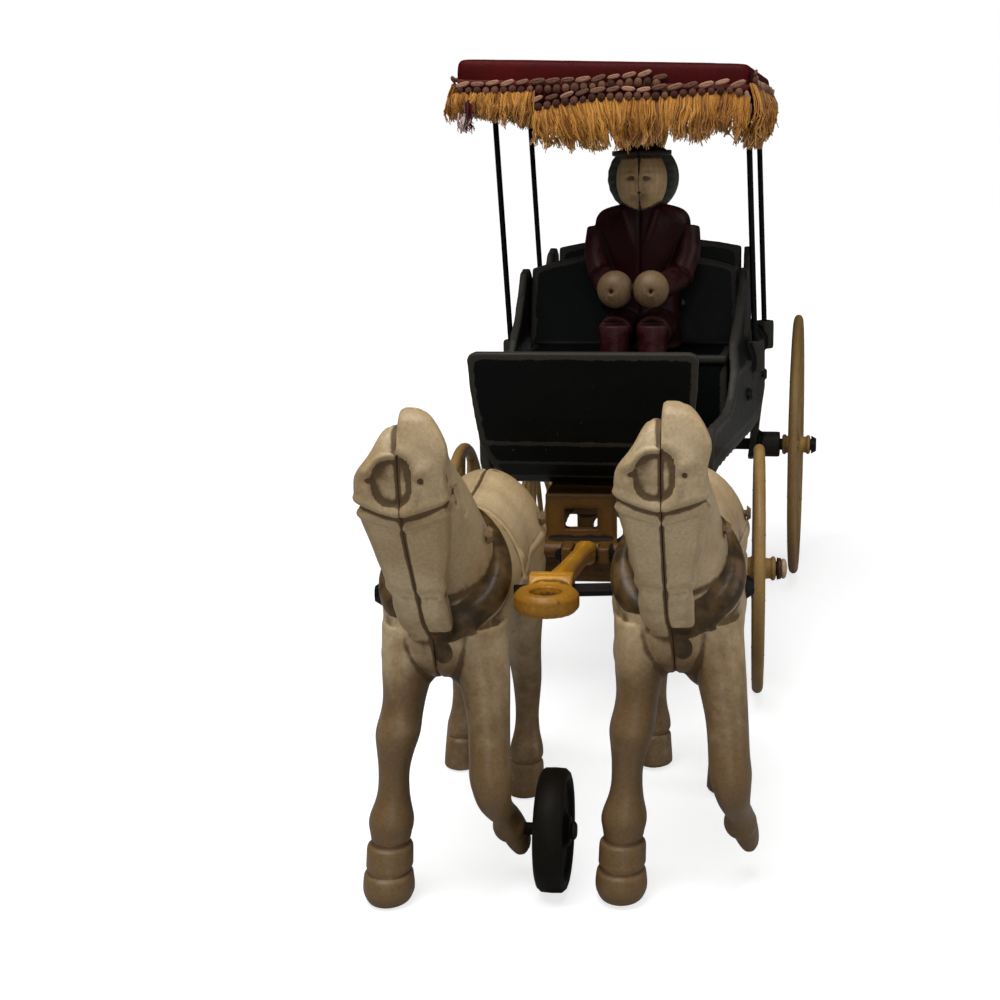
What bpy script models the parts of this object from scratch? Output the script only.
"""Cast iron toy surrey with a fringed canopy, a driver, a lady passenger and two trotting horses.

Lengths are in metres. +Z is up and the toy drives towards -Y, so the driver's left hand is on +X.
The front axle stands over Y = 0 and the wheels roll on Z = 0.
"""

import math

import bmesh
import bpy
from mathutils import Matrix, Vector

# General
GAP = 0.0003
WALL = 0.0022

# Wheels and axles
FRONT_WHEEL_R = 0.0320
REAR_WHEEL_R = 0.0422
RIM_WIDTH = 0.0028
RIM_DEPTH = 0.0032
FRONT_SPOKES = 12
REAR_SPOKES = 14
SPOKE_R = 0.00125
HUB_R = 0.0038
HUB_HALF = 0.0045
AXLE_R = 0.0019
FRONT_TRACK = 0.0766
REAR_TRACK = 0.0878
WHEELBASE = 0.1238

# Body
FLOOR_Z = 0.0600
FLOOR_FRONT = -0.0235
FLOOR_REAR = 0.1020
DASH_Y = -0.0410
DASH_TOP = 0.0934
DASH_HALF = 0.0267
FRONT_SEAT_Y = 0.0535
FRONT_SEAT_TOP = 0.1052
FRONT_SEAT_HALF = 0.0296
REAR_SEAT_Y = 0.0900
REAR_SEAT_TOP = 0.1088
REAR_SEAT_HALF = 0.0281
CUSHION_Z = 0.0840
TIE_RIVETS = ((0.0360, 0.0720), (0.0760, 0.0720))
SIDE_PLAN = ((-0.045, 0.0275), (0.0, 0.0298), (0.020, 0.0318), (0.047, 0.0343), (0.075, 0.0352), (0.106,
        0.0344))
ARM_PLAN = ((0.0, 0.0290), (0.020, 0.0306), (0.053, 0.0322), (0.090, 0.0307), (0.106, 0.0300))
LEDGE_Z = (0.0800, 0.0860)

# Canopy and its posts
POST_R = 0.0008
POST_FOOT_Z = 0.0800
POST_HALF = 0.0345
POST_Y = (0.0469, 0.0984)
CANOPY_X = -0.0033
CANOPY_Y = 0.0630
CANOPY_WIDTH = 0.0745
CANOPY_LENGTH = 0.0995
CANOPY_THICK = 0.0050
CANOPY_TOP = 0.1593
CANOPY_TILT = math.radians(2.7)
BOARD_THICK = 0.0016
VALANCE = 0.0036
FRINGE_DROP = 0.0205

# Front gear, pole and hitch, in the frame of the gear
STEER_AT_REST = math.radians(3.7)
GEAR_TOP = 0.0583
GEAR_FRONT = -0.0320
CROSSBAR_Y = -0.0360
CROSSBAR_Z = 0.0454
CROSSBAR_HALF = 0.0150
POLE_HINGE_Y = -0.0415
EYE_Y = -0.1195
EYE_R = 0.0062
POLE_X = -0.0022
FRAME_X = -0.0042
HITCH_Y = -0.1105
HITCH_Z = 0.0562
HITCH_R = 0.0013

# Horses, each in a frame whose origin is the hitch hole
HORSE_X = 0.0219
HORSE_STAGGER = 0.0023
HORSE_LIFT = 0.0002
HORSE_HEADING = math.radians(-1.0)
HITCH_HOLE_R = 0.0020
GUIDE_R = 0.0118
GUIDE_WIDTH = 0.0048
GUIDE_PIN_R = 0.0010
GUIDE_Y = -0.0082
GUIDE_X = 0.0212

# Figures
DRIVER_X = 0.0042
DRIVER_Y = 0.0392
LADY_Y = 0.0760

PARTS = None


def clear_scene():
    """Empties the scene and makes the collection of the toy."""
    global PARTS
    for obj in list(bpy.data.objects):
        bpy.data.objects.remove(obj, do_unlink=True)
    PARTS = bpy.data.collections.new("toy_surrey")
    bpy.context.scene.collection.children.link(PARTS)


def paint(name, colour, roughness, metallic):
    """One Principled material."""
    material = bpy.data.materials.new(name)
    material.use_nodes = True
    shader = material.node_tree.nodes["Principled BSDF"]
    shader.inputs["Base Color"].default_value = (*colour, 1.0)
    shader.inputs["Roughness"].default_value = roughness
    shader.inputs["Metallic"].default_value = metallic
    return material


def solid(name, bm):
    """Makes a mesh object of a bmesh, with its normals outward."""
    bmesh.ops.recalc_face_normals(bm, faces=bm.faces)
    mesh = bpy.data.meshes.new(name)
    bm.to_mesh(mesh)
    bm.free()
    obj = bpy.data.objects.new(name, mesh)
    PARTS.objects.link(obj)
    return obj


def box(name, low, high):
    """A block between two corners."""
    bm = bmesh.new()
    bmesh.ops.create_cube(bm, size=1.0)
    size = [b - a for a, b in zip(low, high)]
    centre = [(a + b) / 2 for a, b in zip(low, high)]
    bmesh.ops.scale(bm, vec=size, verts=bm.verts)
    bmesh.ops.translate(bm, vec=centre, verts=bm.verts)
    return solid(name, bm)


def rod(name, start, end, radius, steps=16, end_radius=None):
    """A round bar, or a cone, between two points."""
    start, end = Vector(start), Vector(end)
    bm = bmesh.new()
    bmesh.ops.create_cone(
        bm,
        cap_ends=True,
        segments=steps,
        radius1=radius,
        radius2=radius if end_radius is None else end_radius,
        depth=(end - start).length,
    )
    turn = (end - start).to_track_quat("Z", "Y").to_matrix().to_4x4()
    bmesh.ops.transform(bm, matrix=Matrix.Translation((start + end) / 2) @ turn, verts=bm.verts)
    return solid(name, bm)


def ball(name, centre, radii, around=14, up=8):
    """An ellipsoid."""
    bm = bmesh.new()
    bmesh.ops.create_uvsphere(bm, u_segments=around, v_segments=up, radius=1.0)
    bmesh.ops.scale(bm, vec=radii, verts=bm.verts)
    bmesh.ops.translate(bm, vec=centre, verts=bm.verts)
    return solid(name, bm)


def turned(name, profile, steps, axis="X", centre=(0, 0, 0)):
    """Revolves a profile of (radius, height) points, listed from top to bottom, round an axis."""
    mesh = bpy.data.meshes.new(name)
    mesh.from_pydata([(r, 0, h) for r, h in profile], [(i, i + 1) for i in range(len(profile) - 1)], [])
    obj = bpy.data.objects.new(name, mesh)
    PARTS.objects.link(obj)
    screw = obj.modifiers.new("Revolve", "SCREW")
    screw.steps = steps
    screw.render_steps = steps
    screw.use_merge_vertices = True
    screw.merge_threshold = 0.00001
    screw.use_normal_calculate = True
    set_mesh(obj)
    turn = Matrix.Rotation(math.radians(90), 4, "Y") if axis == "X" else Matrix()
    obj.data.transform(Matrix.Translation(centre) @ turn)
    tidy(obj)
    return obj


def ring(centre, half_width, half_depth, angle, count, power=2.0):
    """Points of one section. Angle 0 faces forward and 90 up, so the section is square to that way."""
    angle = math.radians(angle)
    across = Vector((0, math.sin(angle), math.cos(angle)))
    points = []
    for i in range(count):
        turn = 2 * math.pi * (i + 0.5) / count
        c, s = math.cos(turn), math.sin(turn)
        x = math.copysign(abs(c) ** (2 / power), c) * half_width
        t = math.copysign(abs(s) ** (2 / power), s) * half_depth
        points.append(Vector(centre) + Vector((x, 0, 0)) + across * t)
    return points


def smooth_stations(stations, between):
    """Adds Catmull-Rom stations between the given ones."""
    result = []
    last = len(stations) - 1
    for i in range(last):
        p = [stations[max(i - 1, 0)], stations[i], stations[i + 1], stations[min(i + 2, last)]]
        for k in range(between):
            t = k / between
            result.append(
                tuple(
                    0.5
                    * (2 * b + (c - a) * t + (2 * a - 5 * b + 4 * c - d) * t * t
                       + (3 * b - a - 3 * c + d) * t**3)
                    for a, b, c, d in zip(*p)
                )
            )
    result.append(tuple(stations[-1]))
    return result


def skin(name, rings):
    """Closes a row of equal rings into one solid."""
    bm = bmesh.new()
    rows = [[bm.verts.new(p) for p in points] for points in rings]
    count = len(rows[0])
    for a, b in zip(rows, rows[1:]):
        for i in range(count):
            j = (i + 1) % count
            bm.faces.new((a[i], a[j], b[j], b[i]))
    bm.faces.new(rows[0][::-1])
    bm.faces.new(rows[-1])
    return solid(name, bm)


def limb(name, stations, count=10, between=2, power=2.0):
    """A loft through (x, y, z, half width, half depth, angle) stations given in millimetres and degrees."""
    rings = []
    for x, y, z, w, d, angle in smooth_stations(stations, between):
        centre = (x / 1000, y / 1000, z / 1000)
        rings.append(ring(centre, max(w, 0.3) / 1000, max(d, 0.3) / 1000, angle, count, power))
    return skin(name, rings)


def set_mesh(obj):
    """Replaces the mesh with its evaluated form and drops the modifiers."""
    graph = bpy.context.evaluated_depsgraph_get()
    mesh = bpy.data.meshes.new_from_object(obj.evaluated_get(graph))
    obj.modifiers.clear()
    obj.data = mesh


def tidy(obj):
    """Welds coincident points and drops faces without area."""
    bm = bmesh.new()
    bm.from_mesh(obj.data)
    bmesh.ops.remove_doubles(bm, verts=bm.verts, dist=0.00001)
    bmesh.ops.dissolve_degenerate(bm, edges=bm.edges, dist=0.00001)
    bm.to_mesh(obj.data)
    bm.free()


def combine(target, others, operation):
    """Unites, cuts or intersects with other solids, which are used up."""
    for other in others:
        modifier = target.modifiers.new(operation.title(), "BOOLEAN")
        modifier.operation = operation
        modifier.solver = "EXACT"
        modifier.object = other
        set_mesh(target)
        bpy.data.objects.remove(other, do_unlink=True)
    tidy(target)
    return target


def unite(target, *others):
    return combine(target, others, "UNION")


def cut(target, *others):
    return combine(target, others, "DIFFERENCE")


def finish(obj, name, material, sharp=35):
    """Names a finished piece, paints it and shades its round faces smooth."""
    obj.name = name
    obj.data.name = name
    obj.data.materials.clear()
    obj.data.materials.append(material)
    for face in obj.data.polygons:
        face.use_smooth = True
        face.material_index = 0
    obj.data.set_sharp_from_angle(angle=math.radians(sharp))
    return obj


def copy_of(obj, name):
    """A second piece from the same casting."""
    copy = bpy.data.objects.new(name, obj.data)
    PARTS.objects.link(copy)
    return copy


def pivot(name, place, parent=None, turn=(0, 0, 0)):
    """An empty on which a moving group hangs."""
    empty = bpy.data.objects.new(name, None)
    empty.empty_display_size = 0.01
    empty.location = place
    empty.rotation_euler = turn
    PARTS.objects.link(empty)
    empty.parent = parent
    return empty


def hang(obj, parent, place=(0, 0, 0), turn=(0, 0, 0)):
    obj.parent = parent
    obj.location = place
    obj.rotation_euler = turn
    return obj


def interpolate(table, value):
    """Straight-line reading of a table of (input, output) pairs."""
    for (a, fa), (b, fb) in zip(table, table[1:]):
        if value <= b:
            return fa + (fb - fa) * max(value - a, 0.0) / (b - a)
    return table[-1][1]


def spoked_wheel(name, radius, spokes, hub_half):
    """A cast wheel with an oval rim, tapered spokes and a turned hub, on the X axis."""
    w, d = RIM_WIDTH / 2, RIM_DEPTH
    rim = [
        (radius - 0.15 * d, w),
        (radius, 0.0),
        (radius - 0.15 * d, -w),
        (radius - d, -0.5 * w),
        (radius - d, 0.5 * w),
        (radius - 0.15 * d, w),
    ]
    wheel = turned(name, rim, 36)
    bore = AXLE_R + GAP
    hub = [
        (bore, hub_half),
        (HUB_R * 0.72, hub_half),
        (HUB_R * 0.80, hub_half * 0.55),
        (HUB_R * 1.10, hub_half * 0.35),
        (HUB_R * 1.10, -hub_half * 0.35),
        (HUB_R * 0.80, -hub_half * 0.55),
        (HUB_R * 0.86, -hub_half),
        (bore, -hub_half),
        (bore, hub_half),
    ]
    hub = turned("hub", hub, 12)
    for i in range(spokes):
        angle = 2 * math.pi * i / spokes
        way = Vector((0, math.cos(angle), math.sin(angle)))
        spoke = rod("spoke", way * HUB_R * 0.95, way * (radius - 0.7 * d), SPOKE_R, 5, SPOKE_R * 0.8)
        hub = unite(hub, spoke)
    return unite(wheel, hub)


def axle(name, track, hub_half):
    """A steel axle with a washer and a peened head outside each wheel."""
    end = track / 2 + hub_half
    shaft = rod(name, (-end - 0.0016, 0, 0), (end + 0.0016, 0, 0), AXLE_R, 14)
    for side in (-1, 1):
        start = side * (end + GAP)
        unite(shaft, rod("head", (start, 0, 0), (start + side * 0.0016, 0, 0), 0.0030, 14, 0.0021))
    return shaft


def side_offset(y, z):
    """Outer face of the body side, which steps in over a ledge to the arm rests."""
    step = min(max((z - LEDGE_Z[0]) / (LEDGE_Z[1] - LEDGE_Z[0]), 0.0), 1.0)
    tuck = 0.0030 * max(0.0, (0.064 - z) / 0.02)
    lower, upper = interpolate(SIDE_PLAN, y), interpolate(ARM_PLAN, y)
    return lower + (upper - lower) * step - tuck


def body_side(name, side):
    """One cast side: sill, two swept arm rests, post sockets and the bracket for the rear axle."""
    outline = [
        (-0.0235, 0.0600), (-0.0235, 0.0700), (-0.0190, 0.0722), (0.0060, 0.0716), (0.0130, 0.0740),
        (0.0190, 0.0810), (0.0260, 0.0880), (0.0350, 0.0925), (0.0430, 0.0990), (0.0480, 0.1045),
        (0.0535, 0.1052), (0.0565, 0.1025), (0.0570, 0.0900), (0.0600, 0.0840), (0.0670, 0.0845),
        (0.0740, 0.0915), (0.0800, 0.1000), (0.0850, 0.1072), (0.0900, 0.1088), (0.0930, 0.1065),
        (0.0940, 0.0900), (0.0985, 0.0800), (0.1040, 0.0700), (0.1095, 0.0590), (0.1200, 0.0500),
        (0.1284, 0.0455), (0.1300, 0.0420), (0.1284, 0.0385), (0.1238, 0.0370), (0.1195, 0.0388),
        (0.1170, 0.0440), (0.1050, 0.0520), (0.0960, 0.0560), (0.0800, 0.0585), (0.0400, 0.0600),
    ]
    bm = bmesh.new()
    face = bm.faces.new([bm.verts.new((0, y, z)) for y, z in outline])
    for k in range(14):
        cut_y = -0.015 + 0.0105 * k
        bmesh.ops.bisect_plane(bm, geom=bm.faces[:] + bm.edges[:] + bm.verts[:], plane_co=(0, cut_y, 0),
                plane_no=(0, 1, 0))
    for cut_z in (0.0640, LEDGE_Z[0], LEDGE_Z[1], 0.0950):
        bmesh.ops.bisect_plane(bm, geom=bm.faces[:] + bm.edges[:] + bm.verts[:], plane_co=(0, 0, cut_z),
                plane_no=(0, 0, 1))
    bmesh.ops.triangulate(bm, faces=bm.faces)
    sheet = list(bm.faces)
    grown = bmesh.ops.extrude_face_region(bm, geom=sheet, use_keep_orig=True)
    inner = [v for v in grown["geom"] if isinstance(v, bmesh.types.BMVert)]
    inner_set = set(inner)
    for vert in bm.verts:
        depth = WALL if vert in inner_set else 0.0
        vert.co.x = side * (side_offset(vert.co.y, vert.co.z) - depth)
    panel = solid(name, bm)
    for y in POST_Y:
        foot = interpolate(SIDE_PLAN, y)
        boss = rod("boss", (side * foot, y, POST_FOOT_Z - 0.0030), (side * foot, y, POST_FOOT_Z + 0.0055),
                0.0027, 12)
        unite(panel, boss)
        hole = rod("hole", (side * POST_HALF, y, POST_FOOT_Z), (side * POST_HALF, y,
                POST_FOOT_Z + 0.0300), 0.0014, 10)
        cut(panel, hole)
    x = REAR_TRACK / 2 - HUB_HALF - 0.0008
    strut = rod("strut", (side * 0.0290, WHEELBASE, REAR_WHEEL_R), (side * x, WHEELBASE, REAR_WHEEL_R),
            0.0042, 16)
    unite(panel, strut)
    bore = rod("bore", (side * 0.02, WHEELBASE, REAR_WHEEL_R), (side * 0.05, WHEELBASE, REAR_WHEEL_R),
            AXLE_R + GAP, 14)
    cut(panel, bore)
    for y, z in TIE_RIVETS:
        cut(panel, rod("hole", (side * 0.02, y, z), (side * 0.05, y, z), 0.0012, 10))
    return panel


def strip_ring(centre_x, half, point, normal, thick):
    """Four corners of a plate section that runs along X at a point of its side profile."""
    y, z = point
    ny, nz = normal
    return [
        Vector((centre_x - half, y, z)),
        Vector((centre_x + half, y, z)),
        Vector((centre_x + half, y + ny * thick, z + nz * thick)),
        Vector((centre_x - half, y + ny * thick, z + nz * thick)),
    ]


def profile_normals(points, flip=1.0):
    """Unit normals of a side profile given as (y, z) points."""
    normals = []
    for i in range(len(points)):
        a, b = points[max(i - 1, 0)], points[min(i + 1, len(points) - 1)]
        dy, dz = b[0] - a[0], b[1] - a[1]
        size = math.hypot(dy, dz)
        normals.append((-dz / size * flip, dy / size * flip))
    return normals


def dashboard():
    """The dash, tipped forward at the top and curved under at the foot, with its cast ribs."""
    rows = [
        (DASH_Y, DASH_TOP, 0.0248), (DASH_Y + 0.0001, 0.0928, 0.0262), (DASH_Y + 0.0002, 0.0918, DASH_HALF),
        (DASH_Y + 0.0010, 0.0850, 0.0264), (DASH_Y + 0.0020, 0.0780, 0.0256), (DASH_Y + 0.0032, 0.0720,
            0.0248),
        (DASH_Y + 0.0055, 0.0675, 0.0230), (DASH_Y + 0.0090, 0.0640, 0.0210), (DASH_Y + 0.0130, 0.0620,
            0.0205),
        (FLOOR_FRONT - GAP, 0.0610, 0.0205),
    ]
    path = [(y, z) for y, z, _ in rows]
    normals = profile_normals(path)
    plate = skin("dashboard", [strip_ring(0, half, p, n, -0.0019) for (_, _, half), p, n in zip(rows,
            path, normals)])
    for x, wide in ((-0.0104, 0.0006), (0.0088, 0.0005), (0.0118, 0.0005)):
        part = slice(1, 7)
        rings = [strip_ring(x, wide, p, n, 0.0007) for p, n in zip(path[part], normals[part])]
        for points, (ny, nz) in zip(rings, normals[part]):
            points[0] -= Vector((0, ny, nz)) * 0.0006
            points[1] -= Vector((0, ny, nz)) * 0.0006
        unite(plate, skin("rib", rings))
    for side in (-1, 1):
        rings = []
        for (_, _, half), p, n in list(zip(rows, path, normals))[2:7]:
            points = strip_ring(side * (half - 0.0030), 0.0005, p, n, 0.0007)
            points[0] -= Vector((0, n[0], n[1])) * 0.0006
            points[1] -= Vector((0, n[0], n[1])) * 0.0006
            rings.append(points)
        unite(plate, skin("rib", rings))
    return plate


def floor_pan():
    """The floor plate, as wide as the sides allow, with a boss for the kingpin."""
    rings = []
    for k in range(7):
        y = FLOOR_FRONT + (FLOOR_REAR - FLOOR_FRONT) * k / 6
        half = min(side_offset(y, FLOOR_Z), side_offset(y, FLOOR_Z + WALL)) - WALL - GAP
        rings.append(strip_ring(0, half, (y, FLOOR_Z + WALL), (0, 1), -WALL))
    pan = skin("floor", rings)
    unite(pan, rod("boss", (0, 0, GEAR_TOP + GAP), (0, 0, FLOOR_Z + 0.0010), 0.0090, 24))
    return cut(pan, rod("hole", (0, 0, 0.05), (0, 0, 0.07), 0.0018, 14))


def seat(name, back_y, top, half, rise, front):
    """One seat casting: front board, cushion board and a back that leans and is arched along the top."""
    cushion = CUSHION_Z - 0.0020
    low = FLOOR_Z + WALL + GAP
    wide = interpolate(ARM_PLAN, front) - WALL - GAP
    body = box(name, (-wide, front, cushion), (wide, back_y - 0.0040, CUSHION_Z))
    riser = box("riser", (-wide, front + 0.0010, low), (wide, front + 0.0030, cushion + 0.0008))
    bm = bmesh.new()
    outline = [(-half, cushion - 0.0004), (half, cushion - 0.0004)]
    for k in range(9):
        t = 1 - k / 4
        outline.append((half * t * (1.0 if abs(t) < 1 else 0.985), top + rise * (1 - t * t)))
    front_face = [bm.verts.new((x, back_y - 0.0050 + (z - cushion) * 0.16, z)) for x, z in outline]
    rear_face = [bm.verts.new((v.co.x, v.co.y + 0.0020, v.co.z)) for v in front_face]
    bm.faces.new(front_face)
    bm.faces.new(rear_face[::-1])
    for i in range(len(front_face)):
        j = (i + 1) % len(front_face)
        bm.faces.new((front_face[j], front_face[i], rear_face[i], rear_face[j]))
    back = solid("back", bm)
    return unite(body, riser, back)


def tie_rivet(y, z):
    """A long rivet that clamps the sides, with a head against each side."""
    face = side_offset(y, z)
    shank = rod("rivet", (-face - 0.0004, y, z), (face + 0.0004, y, z), 0.0009, 10)
    for side in (-1, 1):
        start = side * (face + GAP)
        unite(shank, rod("head", (start, y, z), (start + side * 0.0009, y, z), 0.0021, 12, 0.0012))
    return shank


def canopy_height(x):
    """Underside of the canopy board, which slopes a little to the driver's left."""
    under = CANOPY_TOP - CANOPY_THICK
    return under - math.tan(CANOPY_TILT) * (x - CANOPY_X)


def post(name, side, y):
    """One iron rod from its socket on the body to the canopy."""
    head_x = CANOPY_X + side * 0.0350
    foot = (side * POST_HALF, y, POST_FOOT_Z + GAP)
    return rod(name, foot, (head_x, y, canopy_height(head_x) - GAP), POST_R, 10)


def rounded_outline(half_x, half_y, corner, steps=4):
    """Corner points of a rounded rectangle, anticlockwise."""
    points = []
    for cx, cy, start in ((1, 1, 0), (-1, 1, 90), (-1, -1, 180), (1, -1, 270)):
        for k in range(steps + 1):
            angle = math.radians(start + 90 * k / steps)
            points.append(
                (cx * (half_x - corner) + corner * math.cos(angle),
                    cy * (half_y - corner) + corner * math.sin(angle))
            )
    return points


def slab(name, half_x, half_y, corner, levels):
    """A plate lofted through (height, inset) levels of one rounded outline."""
    rings = []
    for height, inset in levels:
        outline = rounded_outline(half_x - inset, half_y - inset, max(corner - inset, 0.0004))
        rings.append([Vector((x, y, height)) for x, y in outline])
    return skin(name, rings)


def canopy_cover():
    """The padded top with softly rounded edges, hollow below for the board."""
    hx, hy = CANOPY_WIDTH / 2, CANOPY_LENGTH / 2
    levels = [(-VALANCE, 0.0), (0.0030, 0.0), (0.0042, 0.0004), (0.0049, 0.0014), (0.0053, 0.0060),
            (0.0055, 0.0160)]
    cover = slab("cover", hx, hy, 0.0040, levels)
    pocket = slab("pocket", hx - 0.0010, hy - 0.0010, 0.0030, [(-VALANCE - 0.0010, 0.0),
            (BOARD_THICK + GAP, 0.0)])
    return cut(cover, pocket)


def fringe_drop(s, front):
    """Length of the fringe, which is worn short along part of the front edge."""
    if front:
        return interpolate(((-1.0, 0.0125), (-0.42, 0.0125), (-0.40, FRINGE_DROP), (1.0,
                FRINGE_DROP * 0.97)), s)
    return FRINGE_DROP * (0.93 + 0.07 * math.cos(9 * s))


def fringe():
    """The braid and the hanging yarn round the canopy, as one soft band with a wavy foot."""
    hx, hy = CANOPY_WIDTH / 2, CANOPY_LENGTH / 2
    outline = []
    per_side = 16
    corners = [(hx, hy), (-hx, hy), (-hx, -hy), (hx, -hy)]
    for k in range(4):
        (ax, ay), (bx, by) = corners[k], corners[(k + 1) % 4]
        for i in range(per_side):
            t = i / per_side
            outline.append((ax + (bx - ax) * t, ay + (by - ay) * t, k))
    bm = bmesh.new()
    columns = []
    for x, y, k in outline:
        front = k == 2
        drop = fringe_drop(x / hx if k in (0, 2) else y / hy, front)
        corner = min(hx - abs(x),
                hy - abs(y)) < 1e-9 and abs(abs(x) - hx) < 1e-9 and abs(abs(y) - hy) < 1e-9
        grow = 0.9 if corner else 1.0
        sx, sy = x / hx, y / hy
        reach = max(abs(sx), abs(sy))
        nx, ny = (sx if abs(sx) >= reach - 1e-9 else 0.0), (sy if abs(sy) >= reach - 1e-9 else 0.0)
        section = []
        foot = -drop + CANOPY_THICK
        profile = (
            (GAP, -0.0008), (0.0020, -0.0004), (0.0028, -0.0045), (0.0034, foot), (0.0006, foot), (GAP,
                -0.0045),
        )
        for out, z in profile:
            section.append(bm.verts.new((x + nx * out * grow, y + ny * out * grow, z)))
        columns.append(section)
    for i in range(len(columns)):
        a, b = columns[i], columns[(i + 1) % len(columns)]
        for k in range(6):
            m = (k + 1) % 6
            bm.faces.new((a[k], a[m], b[m], b[k]))
    return solid("fringe", bm)


def front_gear():
    """The steering casting: axle bar, uprights, turning plate, window frame and crossbar."""
    half = FRONT_TRACK / 2 - HUB_HALF - 0.0010
    gear = rod("gear", (-half, 0, FRONT_WHEEL_R), (half, 0, FRONT_WHEEL_R), 0.0042, 16)
    upright = box("upright", (-0.0080, -0.0030, FRONT_WHEEL_R), (0.0080, 0.0030, GEAR_TOP - 0.0008))
    arch = rod("arch", (0, -0.0050, 0.0424), (0, 0.0050, 0.0424), 0.0042, 16)
    low_x, high_x = FRAME_X - 0.0085, FRAME_X + 0.0085
    top = box("top", (low_x, GEAR_FRONT, GEAR_TOP - 0.0030), (high_x, 0.0080, GEAR_TOP - 0.0002))
    plate = rod("plate", (0, 0, GEAR_TOP - 0.0030), (0, 0, GEAR_TOP), 0.0115, 28)
    frame = box("frame", (low_x, GEAR_FRONT, 0.0440), (high_x, GEAR_FRONT + 0.0030, GEAR_TOP - 0.0006))
    low = box("low", (low_x + 0.0020, GEAR_FRONT + 0.0006, 0.0466), (high_x - 0.0020, 0.0, 0.0494))
    bar = rod("bar", (-CROSSBAR_HALF, CROSSBAR_Y, CROSSBAR_Z), (CROSSBAR_HALF, CROSSBAR_Y, CROSSBAR_Z),
            0.0019, 12)
    web = box("web", (low_x, CROSSBAR_Y, CROSSBAR_Z - 0.0014), (high_x, GEAR_FRONT + 0.0020,
            CROSSBAR_Z + 0.0014))
    unite(gear, upright, top, plate, frame, low, bar, web)
    window = box(
        "window", (FRAME_X - 0.0039, GEAR_FRONT - 0.0010, 0.0494), (FRAME_X + 0.0039, GEAR_FRONT + 0.0050,
                0.0544)
    )
    shaft = rod("shaft", (-0.05, 0, FRONT_WHEEL_R), (0.05, 0, FRONT_WHEEL_R), AXLE_R + GAP, 14)
    hole = rod("hole", (0, 0, 0.0500), (0, 0, 0.0700), 0.0018, 14)
    pocket = rod("pocket", (0, 0, 0.0424), (0, 0, GEAR_TOP - 0.0030), 0.0034, 16)
    cut(gear, arch, window, shaft, pocket, hole)
    for side in (-1, 1):
        cheek_low, cheek_high = sorted((POLE_X + side * 0.0031, POLE_X + side * 0.0056))
        low_corner = (cheek_low, POLE_HINGE_Y - 0.0022, CROSSBAR_Z - 0.0018)
        lug = box("lug", low_corner, (cheek_high, CROSSBAR_Y, CROSSBAR_Z + 0.0022))
        unite(gear, lug)
    return cut(gear, rod("pin_hole", (-0.02, POLE_HINGE_Y, CROSSBAR_Z), (0.02, POLE_HINGE_Y, CROSSBAR_Z),
            0.0012, 12))


def kingpin():
    """The headed pin on which the front gear turns."""
    pin = rod("kingpin", (0, 0, 0.0532), (0, 0, FLOOR_Z + WALL + GAP + 0.0004), 0.0014, 14)
    head = rod("head", (0, 0, FLOOR_Z + WALL + GAP), (0, 0, FLOOR_Z + WALL + GAP + 0.0012), 0.0032, 14,
            0.0020)
    nut = rod("nut", (0, 0, 0.0530), (0, 0, GEAR_TOP - 0.0030 - GAP), 0.0029, 14)
    return unite(pin, head, nut)


def pole():
    """The pole, with a hinge block behind, a boss for the hitch pin and a pull ring at its nose."""
    stations = [
        (0.0, -38.6, 45.6, 2.6, 2.4, 0), (0.0, -41.5, 46.0, 2.6, 3.0, 0), (0.0, -45.5, 46.8, 2.5, 2.6, 2),
        (0.0, -52.0, 48.0, 2.1, 2.0, 8), (0.0, -64.0, 49.8, 2.0, 2.0, 9), (0.0, -84.0, 52.6, 2.1, 2.0, 8),
        (0.0, -104.0, 55.4, 2.8, 2.1, 6), (0.0, -112.8, 56.4, 4.0, 2.4, 3), (0.0, -117.5, 56.7, 4.6, 2.0,
            0),
    ]
    beam = limb("pole", stations, 12, 1, 3.0)
    boss = rod("boss", (-0.0042, HITCH_Y, HITCH_Z), (0.0042, HITCH_Y, HITCH_Z), 0.0036, 16)
    nose = turned("nose", [(0, 0.0020), (EYE_R - 0.0009, 0.0020), (EYE_R, 0.0010), (EYE_R, -0.0012),
            (EYE_R - 0.0009, -0.0022), (0, -0.0022)], 22, "Z")
    nose.data.transform(Matrix.Translation((0, EYE_Y, 0.0568)))
    unite(beam, boss, nose)
    eye = rod("eye", (0, EYE_Y - 0.0006, 0.04), (0, EYE_Y - 0.0006, 0.07), 0.0031, 16)
    pin = rod("pin", (-0.02, HITCH_Y, HITCH_Z), (0.02, HITCH_Y, HITCH_Z), HITCH_R + 0.0008, 14)
    hinge = rod("hinge", (-0.02, POLE_HINGE_Y, CROSSBAR_Z), (0.02, POLE_HINGE_Y, CROSSBAR_Z), 0.0013, 12)
    return cut(beam, eye, pin, hinge)


def headed_pin(name, half, radius, head_radius, head=0.0012):
    """A pin along X with a domed head at each end."""
    pin = rod(name, (-half - head * 0.5, 0, 0), (half + head * 0.5, 0, 0), radius, 8)
    for side in (-1, 1):
        unite(pin, rod("head", (side * half, 0, 0), (side * (half + head), 0, 0), head_radius, 8,
                head_radius * 0.6))
    return pin


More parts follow.
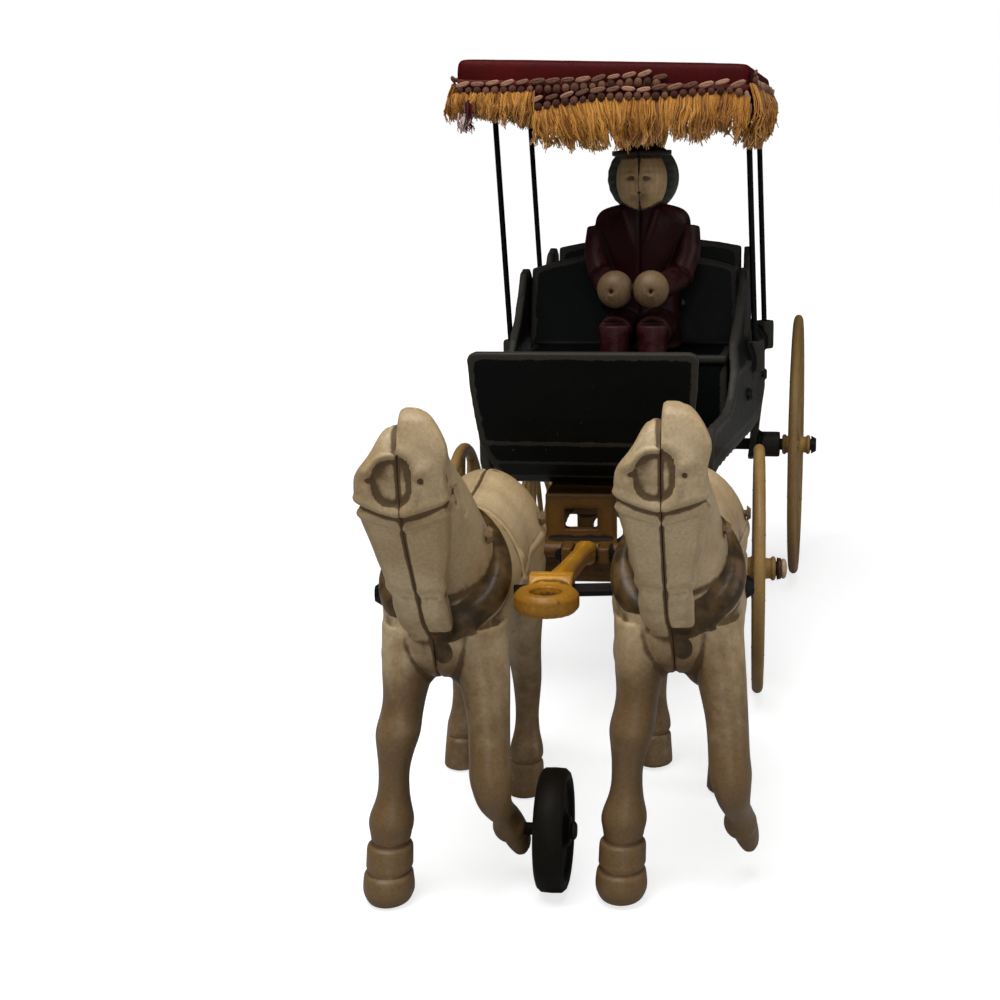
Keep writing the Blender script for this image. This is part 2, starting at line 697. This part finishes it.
BARREL = [
    (0, -14.2, -9.6, 4.0, 5.6, 180), (0, -10.8, -7.0, 9.0, 11.2, 180), (0, -4.0, -3.6, 11.8, 15.6, 180),
    (0, 6.0, -1.8, 12.2, 16.8, 180), (0, 20.0, -3.0, 11.8, 16.3, 180), (0, 34.0, -2.4, 11.4, 15.6, 180),
    (0, 46.0, -1.2, 11.2, 15.2, 180), (0, 56.0, -3.4, 9.2, 12.2, 180), (0, 62.0, -6.0, 5.0, 7.0, 180),
]
NECK = [
    (0, 2.0, 1.0, 10.5, 14.5, 46), (0, -4.0, 9.0, 9.0, 11.0, 46), (0, -9.5, 16.5, 7.2, 8.6, 48),
    (0, -15.5, 23.5, 5.6, 6.2, 50), (0, -21.5, 30.5, 4.4, 4.8, 54), (0, -26.0, 36.5, 3.0, 3.6, 58),
]
HEAD = [
    (0, -27.6, 39.4, 2.6, 3.0, -62), (0, -28.2, 34.6, 4.8, 7.6, -69), (0, -27.4, 28.6, 7.4, 9.6, -72),
    (0, -26.2, 22.2, 8.4, 9.7, -71), (0, -23.6, 14.6, 6.9, 8.2, -68), (0, -20.0, 6.8, 5.3, 6.4, -65),
    (0, -16.6, 0.8, 5.0, 5.5, -61), (0, -14.2, -3.0, 4.6, 4.4, -57), (0, -12.8, -5.0, 3.0, 2.6, -54),
]
COLLAR = [
    (0, -0.6, 3.6, 11.0, 15.0, 50), (0, -1.2, 4.3, 12.3, 16.6, 50), (0, -3.0, 6.0, 12.1, 16.4, 50),
    (0, -3.6, 6.7, 10.8, 14.8, 50),
]
STRAIGHT_LEG = [
    (-6.3, -5.0, -6.0, 5.2, 8.0, -90), (-6.7, -8.0, -13.0, 4.7, 6.4, -90), (-7.5, -11.5, -18.5, 4.0, 4.7,
        -90),
    (-8.3, -13.0, -22.5, 4.0, 4.2, -90), (-8.9, -13.6, -27.5, 2.9, 3.2, -90), (-9.2, -14.0, -33.0, 2.8,
        3.0, -90),
    (-9.5, -14.6, -38.5, 4.2, 4.3, -90), (-9.7, -15.6, -43.5, 4.0, 4.2, -90), (-9.8, -16.2, -45.5, 4.9,
        5.2, -90),
    (-9.9, -16.8, -55.7, 5.3, 5.8, -90),
]
RAISED_LEG = [
    (6.6, -5.0, -6.0, 5.2, 8.0, -90), (7.8, -9.0, -14.0, 4.8, 6.2, -88), (9.0, -13.5, -22.0, 4.5, 5.0, -84),
    (9.6, -17.2, -29.5, 4.4, 4.7, -86), (10.0, -18.6, -34.2, 4.0, 4.4, -112), (10.4, -16.2, -38.0, 3.3,
        3.4, -150),
    (10.7, -12.4, -40.6, 3.0, 3.1, -150), (10.9, -9.0, -43.4, 3.3, 3.8, -140), (10.9, -6.2, -46.8, 3.5,
        4.5, -138),
    (10.9, -3.6, -49.8, 3.2, 4.4, -138),
]
HIND_FORWARD = [
    (6.8, 45.0, -5.0, 5.2, 10.0, -90), (7.3, 42.5, -15.0, 4.9, 7.6, -90), (7.9, 41.5, -23.0, 3.9, 5.0, -90),
    (8.2, 44.0, -32.0, 3.2, 3.9, -90), (8.3, 42.4, -40.0, 2.6, 2.8, -90), (8.4, 40.0, -46.5, 3.4, 3.6, -90),
    (8.4, 38.6, -50.0, 3.9, 4.3, -90), (8.4, 37.6, -55.7, 4.3, 5.2, -90),
]
HIND_BACK = [
    (-6.8, 47.0, -5.0, 5.2, 10.0, -90), (-7.3, 48.0, -15.0, 4.9, 7.6, -90), (-7.9, 50.5, -23.0, 3.9, 5.0,
        -90),
    (-8.2, 56.0, -32.0, 3.2, 3.9, -90), (-8.3, 55.0, -40.0, 2.6, 2.8, -90), (-8.4, 54.0, -46.5, 3.4, 3.6,
        -90),
    (-8.4, 52.8, -50.0, 3.9, 4.3, -90), (-8.4, 52.0, -55.7, 4.3, 5.2, -90),
]
TAIL = [
    (0, 57.0, 7.0, 2.2, 3.2, -150), (0, 62.0, 3.5, 2.6, 3.2, -125), (0, 65.4, -5.0, 3.0, 3.2, -95),
    (0, 65.6, -16.0, 2.8, 2.9, -90), (0, 64.6, -27.0, 1.2, 1.4, -86),
]
HORSE_RIVETS = ((0.0430, 0.0050, 0.0119), (-0.0060, 0.0130, 0.0088))


def inset(stations, wall):
    """The same loft shrunk by a wall thickness, for the hollow of a casting."""
    return [(x, y, z, max(w - wall, 0.6), max(d - wall, 0.6), a) for x, y, z, w, d, a in stations]


def horse_casting():
    """The whole horse before it is split: barrel, neck, head, collar, legs and tail."""
    horse = limb("horse", BARREL, 14, 1)
    neck = limb("neck", NECK, 12, 1)
    head = limb("head", HEAD, 14, 1)
    collar = limb("collar", COLLAR, 16, 1)
    unite(horse, neck, collar, head)
    for stations in (STRAIGHT_LEG, RAISED_LEG, HIND_FORWARD, HIND_BACK):
        unite(horse, limb("leg", stations, 8, 1))
    unite(horse, limb("tail", TAIL, 6, 1))
    for side in (-1, 1):
        unite(horse, rod("ear", (side * 0.0030, -0.0285, 0.0320), (side * 0.0050, -0.0265, 0.0385),
                0.0020, 8, 0.0010))
    lug = rod("lug", (0.0085, GUIDE_Y, GUIDE_R - 0.056), (0.0146, GUIDE_Y, GUIDE_R - 0.056), 0.0036, 10)
    unite(horse, lug)
    hollow = limb("hollow", inset(BARREL[1:-1], 2.2), 12, 1)
    neck_hollow = limb("neck_hollow", inset(NECK[:-2], 2.2), 12, 1)
    cut(horse, hollow, neck_hollow)
    askew = 0.03 * HORSE_STAGGER / HORSE_X - 0.03 * math.tan(HORSE_HEADING)
    cut(horse, rod("hitch", (-0.03, -askew, 0), (0.03, askew, 0), HITCH_HOLE_R, 10))
    cut(horse, rod("pin", (0.0, GUIDE_Y, GUIDE_R - 0.056), (0.03, GUIDE_Y, GUIDE_R - 0.056),
            GUIDE_PIN_R + GAP, 10))
    for y, z, _ in HORSE_RIVETS:
        cut(horse, rod("rivet_hole", (-0.03, y, z), (0.03, y, z), 0.0011, 6))
    return horse


def horse_half(casting, name, side):
    """The half of the casting on one side of the seam."""
    half = copy_of(casting, name)
    low, high = sorted((side * GAP / 2, side * 0.03))
    return combine(half, [box("keep", (low, -0.07, -0.07), (high, 0.09, 0.07))], "INTERSECT")


def horse_rivet(y, z, reach):
    """A rivet that clamps the halves of a horse."""
    pin = headed_pin("rivet", reach + GAP, 0.0008, 0.0018, 0.0009)
    pin.data.transform(Matrix.Translation((0, y, z)))
    return pin


def driver_casting():
    """The driver, seated with both fists before him, in a frame over the middle of his seat."""
    torso = limb(
        "driver",
        [
            (0, 0.0, 0.4, 10.5, 8.5, 90), (0, 0.5, 8.0, 10.2, 7.8, 90), (0, 0.6, 18.0, 9.8, 6.8, 90), (0,
                0.4, 28.0, 11.8, 6.8, 90),
            (0, 0.2, 34.0, 13.0, 6.4, 90), (0, 0.0, 37.6, 11.0, 5.4, 90), (0, -0.6, 39.4, 5.0, 4.2, 90),
        ],
        16, 1, 2.4,
    )
    head = ball("head", (0, -0.0020, 0.0466), (0.0062, 0.0068, 0.0080))
    brim = rod("brim", (0, -0.0016, 0.0534), (0, -0.0016, 0.0546), 0.0079, 20)
    crown = rod("crown", (0, -0.0016, 0.0540), (0, -0.0016, 0.0605), 0.0056, 18, 0.0052)
    unite(torso, head, brim, crown)
    for side in (-1, 1):
        thigh = [(side * 4.6, 2.0, 6.0, 5.2, 5.4, 0), (side * 4.9, -10.0, 6.6, 5.0, 5.0, 0), (side * 5.0,
                -20.0, 6.2, 4.6, 4.8, -10)]
        shin = [(side * 5.0, -20.0, 8.6, 4.2, 4.2, -90), (side * 5.0, -21.5, -4.0, 3.6, 3.8, -90),
                (side * 5.0, -22.5, -18.6, 3.2, 3.6, -90)]
        boot = [(side * 5.0, -19.0, -19.2, 3.2, 2.1, 0), (side * 5.0, -28.0, -19.4, 3.0, 1.9, 0)]
        upper = [(side * 11.8, 1.0, 33.0, 3.6, 4.4, -80), (side * 12.2, -2.0, 26.0, 3.6, 4.2, -70),
                (side * 10.8, -6.0, 20.0, 3.3, 3.8, -45)]
        fore = [(side * 11.0, -4.0, 20.5, 3.5, 3.7, -8), (side * 8.0, -12.0, 18.6, 3.4, 3.5, -4),
                (side * 5.2, -19.0, 18.2, 3.3, 3.4, 0)]
        for stations in (thigh, shin, boot, upper, fore):
            unite(torso, limb("limb", stations, 10, 1))
        unite(torso, ball("fist", (side * 0.0046, -0.0215, 0.0180), (0.0044, 0.0042, 0.0045), 12, 7))
        cut(torso, rod("rein_hole", (side * 0.0052, -0.03, 0.0176), (side * 0.0052, -0.0195, 0.0176),
                0.0007, 6))
    return torso


def lady_casting():
    """The passenger, with a round bonnet, hands in her lap and a long skirt."""
    torso = limb(
        "lady",
        [
            (0, 0.0, 0.4, 9.8, 8.0, 90), (0, 0.4, 8.0, 8.6, 7.0, 90), (0, 0.6, 17.0, 7.4, 5.8, 90), (0,
                0.4, 27.0, 9.6, 6.0, 90),
            (0, 0.2, 33.0, 10.2, 5.6, 90), (0, 0.0, 36.0, 5.0, 4.2, 90),
        ],
        16, 1, 2.2,
    )
    skirt = limb(
        "skirt",
        [(0, 0.0, 6.4, 9.4, 6.0, 0), (0, -9.0, 6.0, 9.6, 5.0, -12), (0, -15.0, 1.0, 9.8, 6.0, -60), (0,
                -17.0, -10.0, 9.9, 5.4, -86), (0, -17.4, -21.2, 10.4, 6.2, -90)],
        16, 2, 2.4,
    )
    head = ball("head", (0, -0.0022, 0.0436), (0.0056, 0.0060, 0.0072))
    bonnet = turned("bonnet", [(0.0, 0.0060), (0.0070, 0.0052), (0.0102, 0.0016), (0.0104, -0.0022),
            (0.0084, -0.0044), (0.0, -0.0044)], 22, "Z")
    bonnet.data.transform(Matrix.Translation((0, 0.0012, 0.0454)) @ Matrix.Rotation(math.radians(-90), 4,
            "X"))
    unite(torso, skirt, head, bonnet)
    for side in (-1, 1):
        arm = [(side * 9.4, 0.6, 31.0, 2.8, 3.4, -84), (side * 9.8, -3.0, 21.0, 2.8, 3.2, -66),
                (side * 6.0, -9.0, 14.6, 2.6, 2.8, -40), (side * 2.2, -12.0, 13.0, 2.6, 2.6, -20)]
        unite(torso, limb("arm", arm, 10, 1))
    return torso


def split_figure(casting, name, place, rivet_y, rivet_z, reach, material, rivet_material):
    """Parts a figure into its two cast halves and adds the rivet that clamps them."""
    cut(casting, rod("hole", (-0.03, rivet_y, rivet_z), (0.03, rivet_y, rivet_z), 0.0011, 10))
    for side, word in ((1, "left"), (-1, "right")):
        half = copy_of(casting, name)
        low, high = sorted((side * GAP / 2, side * 0.03))
        combine(half, [box("keep", (low, -0.05, -0.04), (high, 0.05, 0.08))], "INTERSECT")
        finish(half, f"{name}_{word}_half", material)
        half.location = place
    bpy.data.objects.remove(casting, do_unlink=True)
    rivet = headed_pin("rivet", reach + GAP, 0.0008, 0.0018, 0.0008)
    rivet.data.transform(Matrix.Translation((0, rivet_y, rivet_z)))
    finish(rivet, f"{name}_rivet", rivet_material)
    rivet.location = place


def centre_on_base():
    """Hangs the toy on one empty, so that the frame's origin is under the middle of the whole toy."""
    bpy.context.view_layer.update()
    solids = [obj for obj in PARTS.objects if obj.type == "MESH"]
    points = [obj.matrix_world @ vert.co for obj in solids for vert in obj.data.vertices]
    low_x, high_x = min(p.x for p in points), max(p.x for p in points)
    low_y, high_y = min(p.y for p in points), max(p.y for p in points)
    loose = [obj for obj in PARTS.objects if obj.parent is None]
    middle = pivot("toy_place", (-(low_x + high_x) / 2, -(low_y + high_y) / 2, 0))
    for obj in loose:
        obj.parent = middle


def build():
    clear_scene()
    black = paint("black_paint", (0.012, 0.016, 0.018), 0.35, 0.2)
    yellow = paint("yellow_paint", (0.52, 0.31, 0.06), 0.45, 0.1)
    cream = paint("cream_paint", (0.72, 0.60, 0.43), 0.45, 0.0)
    steel = paint("dark_steel", (0.05, 0.045, 0.04), 0.5, 0.9)
    red = paint("dark_red_paint", (0.09, 0.008, 0.012), 0.4, 0.1)
    green = paint("green_paint", (0.05, 0.09, 0.07), 0.5, 0.1)
    leather = paint("maroon_leatherette", (0.16, 0.012, 0.015), 0.55, 0.0)
    yarn = paint("amber_yarn", (0.62, 0.28, 0.07), 0.9, 0.0)
    enamel = paint("black_enamel", (0.01, 0.01, 0.01), 0.6, 0.1)
    wood = paint("canopy_wood", (0.12, 0.07, 0.035), 0.8, 0.0)

    finish(dashboard(), "dashboard", black)
    finish(floor_pan(), "floor_pan", black)
    finish(body_side("side", 1), "body_side_left", black)
    finish(body_side("side", -1), "body_side_right", black)
    finish(seat("seat", FRONT_SEAT_Y, FRONT_SEAT_TOP, FRONT_SEAT_HALF, 0.0046, 0.0245), "front_seat", black)
    finish(seat("seat", REAR_SEAT_Y, REAR_SEAT_TOP, REAR_SEAT_HALF, 0.0028, 0.0690), "rear_seat", black)
    for (y, z), row in zip(TIE_RIVETS, ("front", "rear")):
        finish(tie_rivet(y, z), f"body_rivet_{row}", steel)

    for y, row in zip(POST_Y, ("front", "rear")):
        for side, word in ((1, "left"), (-1, "right")):
            finish(post("post", side, y), f"post_{row}_{word}", black)

    canopy = pivot("canopy_place", (CANOPY_X, CANOPY_Y, CANOPY_TOP - CANOPY_THICK), turn=(0, CANOPY_TILT,
            0))
    hx, hy = CANOPY_WIDTH / 2 - 0.0013, CANOPY_LENGTH / 2 - 0.0013
    hang(finish(slab("board", hx, hy, 0.0027, [(0.0, 0.0), (BOARD_THICK, 0.0)]), "canopy_board", wood),
            canopy)
    hang(finish(canopy_cover(), "canopy_cover", leather), canopy)
    hang(finish(fringe(), "canopy_fringe", yarn), canopy)

    rear = pivot("rear_axle_place", (0, WHEELBASE, REAR_WHEEL_R))
    hang(finish(axle("axle", REAR_TRACK, HUB_HALF), "rear_axle", steel), rear)
    wheel = finish(spoked_wheel("wheel", REAR_WHEEL_R, REAR_SPOKES, HUB_HALF), "rear_wheel_left", yellow)
    hang(wheel, rear, (REAR_TRACK / 2, 0, 0))
    hang(copy_of(wheel, "rear_wheel_right"), rear, (-REAR_TRACK / 2, 0, 0), (0, 0, math.pi))

    steering = pivot("front_gear_place", (0, 0, 0), turn=(0, 0, STEER_AT_REST))
    hang(finish(front_gear(), "front_gear", yellow), steering)
    hang(finish(kingpin(), "kingpin", steel), steering)
    hang(finish(axle("axle", FRONT_TRACK, HUB_HALF), "front_axle", steel), steering, (0, 0, FRONT_WHEEL_R))
    wheel = finish(spoked_wheel("wheel", FRONT_WHEEL_R, FRONT_SPOKES, HUB_HALF), "front_wheel_left", yellow)
    hang(wheel, steering, (FRONT_TRACK / 2, 0, FRONT_WHEEL_R))
    hang(copy_of(wheel, "front_wheel_right"), steering, (-FRONT_TRACK / 2, 0, FRONT_WHEEL_R), (0, 0,
            math.pi))

    hang(finish(pole(), "pole", yellow), steering, (POLE_X, 0, 0))
    pin = finish(headed_pin("pin", 0.0056 + GAP, 0.0009, 0.0018), "pole_pin", steel)
    hang(pin, steering, (POLE_X, POLE_HINGE_Y, CROSSBAR_Z))
    tilt = math.atan(HORSE_LIFT / HORSE_X)
    pin = finish(headed_pin("pin", HORSE_X + 0.0124 + GAP, HITCH_R, 0.0026, 0.0016), "hitch_pin", steel)
    hang(pin, steering, (0, HITCH_Y, HITCH_Z), (0, -tilt, math.atan(HORSE_STAGGER / HORSE_X)))

    casting = horse_casting()
    left = finish(horse_half(casting, "half", 1), "near_horse_left_half", cream)
    right = finish(horse_half(casting, "half", -1), "near_horse_right_half", cream)
    bpy.data.objects.remove(casting, do_unlink=True)
    rump = finish(horse_rivet(*HORSE_RIVETS[0]), "near_horse_rump_rivet", steel)
    neck = finish(horse_rivet(*HORSE_RIVETS[1]), "near_horse_neck_rivet", steel)
    for name, side in (("near", 1), ("off", -1)):
        place = (side * HORSE_X, HITCH_Y + side * HORSE_STAGGER, HITCH_Z + side * HORSE_LIFT)
        stand = pivot(f"{name}_horse_place", place, steering, (0, 0, HORSE_HEADING))
        for piece, word in ((left, "left_half"), (right, "right_half"), (rump, "rump_rivet"), (neck,
                "neck_rivet")):
            hang(piece if side == 1 else copy_of(piece, f"off_horse_{word}"), stand)
    off = bpy.data.objects["off_horse_place"]
    low = GUIDE_R - off.location.z
    pin = rod("pin", (0.0062, 0, 0), (GUIDE_X + GUIDE_WIDTH / 2 + 0.0012, 0, 0), GUIDE_PIN_R, 12)
    unite(pin, rod("head", (0.0052, 0, 0), (0.0066, 0, 0), 0.0019, 12))
    unite(pin, rod("head", (GUIDE_X + GUIDE_WIDTH / 2 + GAP, 0, 0), (GUIDE_X + GUIDE_WIDTH / 2 + 0.0016,
            0, 0), 0.0019, 12))
    hang(finish(pin, "guide_wheel_pin", steel), off, (0, GUIDE_Y, low))
    w, b = GUIDE_WIDTH / 2, GUIDE_PIN_R + GAP
    profile = [
        (b, w), (0.0030, w), (0.0034, 0.72 * w), (0.0080, 0.60 * w), (0.0092,
            0.95 * w), (GUIDE_R - 0.0008, 0.70 * w),
        (GUIDE_R, 0.0), (GUIDE_R - 0.0008, -0.70 * w), (0.0092, -0.95 * w), (0.0080, -0.60 * w), (0.0034,
            -0.72 * w),
        (0.0030, -w), (b, -w), (b, w),
    ]
    hang(finish(turned("tyre", profile, 24), "guide_wheel", enamel), off, (GUIDE_X, GUIDE_Y, low))

    split_figure(driver_casting(), "driver", (DRIVER_X, DRIVER_Y, CUSHION_Z + GAP), 0.0010, 0.0120,
            0.0104, red, steel)
    split_figure(lady_casting(), "passenger", (0, LADY_Y, CUSHION_Z + GAP), 0.0010, 0.0064, 0.0098, green,
            steel)
    centre_on_base()


build()
